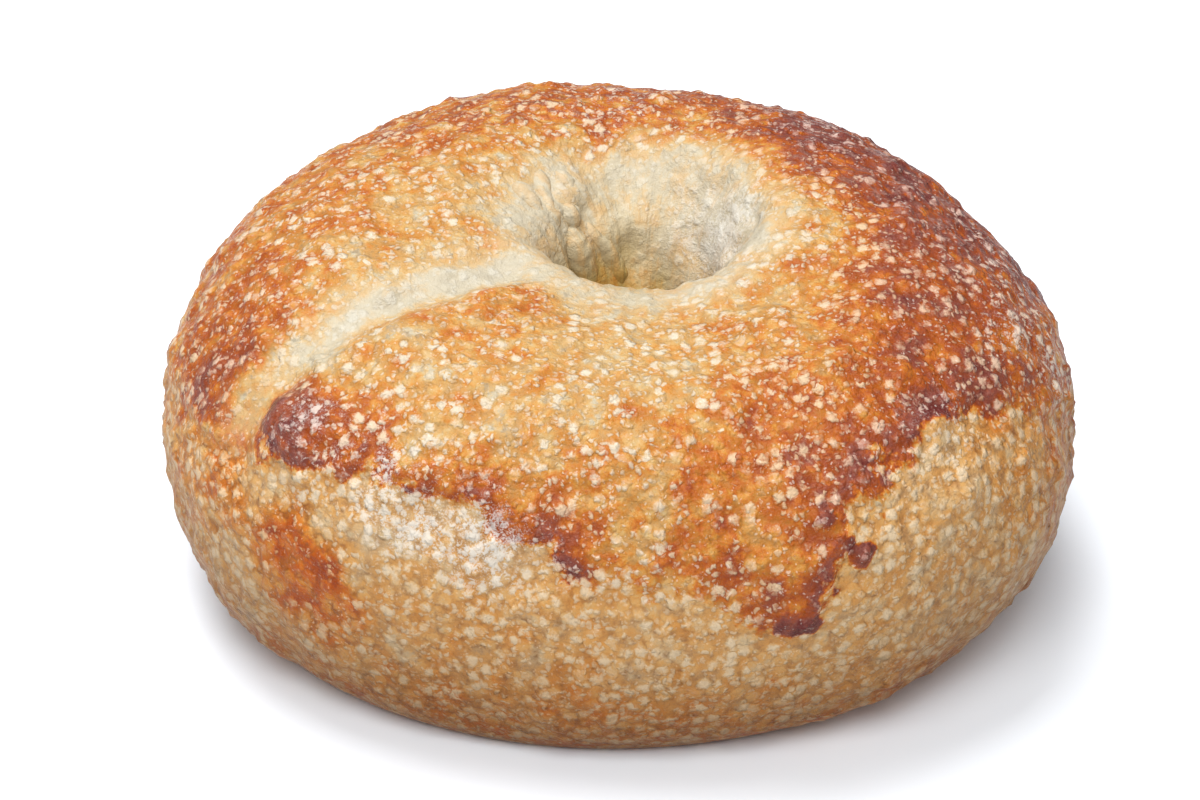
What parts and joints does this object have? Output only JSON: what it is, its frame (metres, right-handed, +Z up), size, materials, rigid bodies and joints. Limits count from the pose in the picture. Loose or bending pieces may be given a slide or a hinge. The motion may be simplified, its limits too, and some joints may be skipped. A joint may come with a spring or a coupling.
{
  "type": "bagel",
  "caption": "Plump baked bread ring with a puckered oval hole, a fold where its ends meet, and a blistered golden crust.",
  "frame": {"origin": "on the table, under the middle of the bagel's box", "axes": "+Z up out of the browned top; the side seen in the picture is at -Y, and the fold runs from the hole towards -X and -Y"},
  "size_m": [0.1162, 0.1044, 0.052],
  "materials": {
    "crust": "baked golden bread crust, blistered, satin; matte plastic stands in for bread"
  },
  "bodies": {
    "root": {"bagel": "crust"}
  },
  "joints": []
}
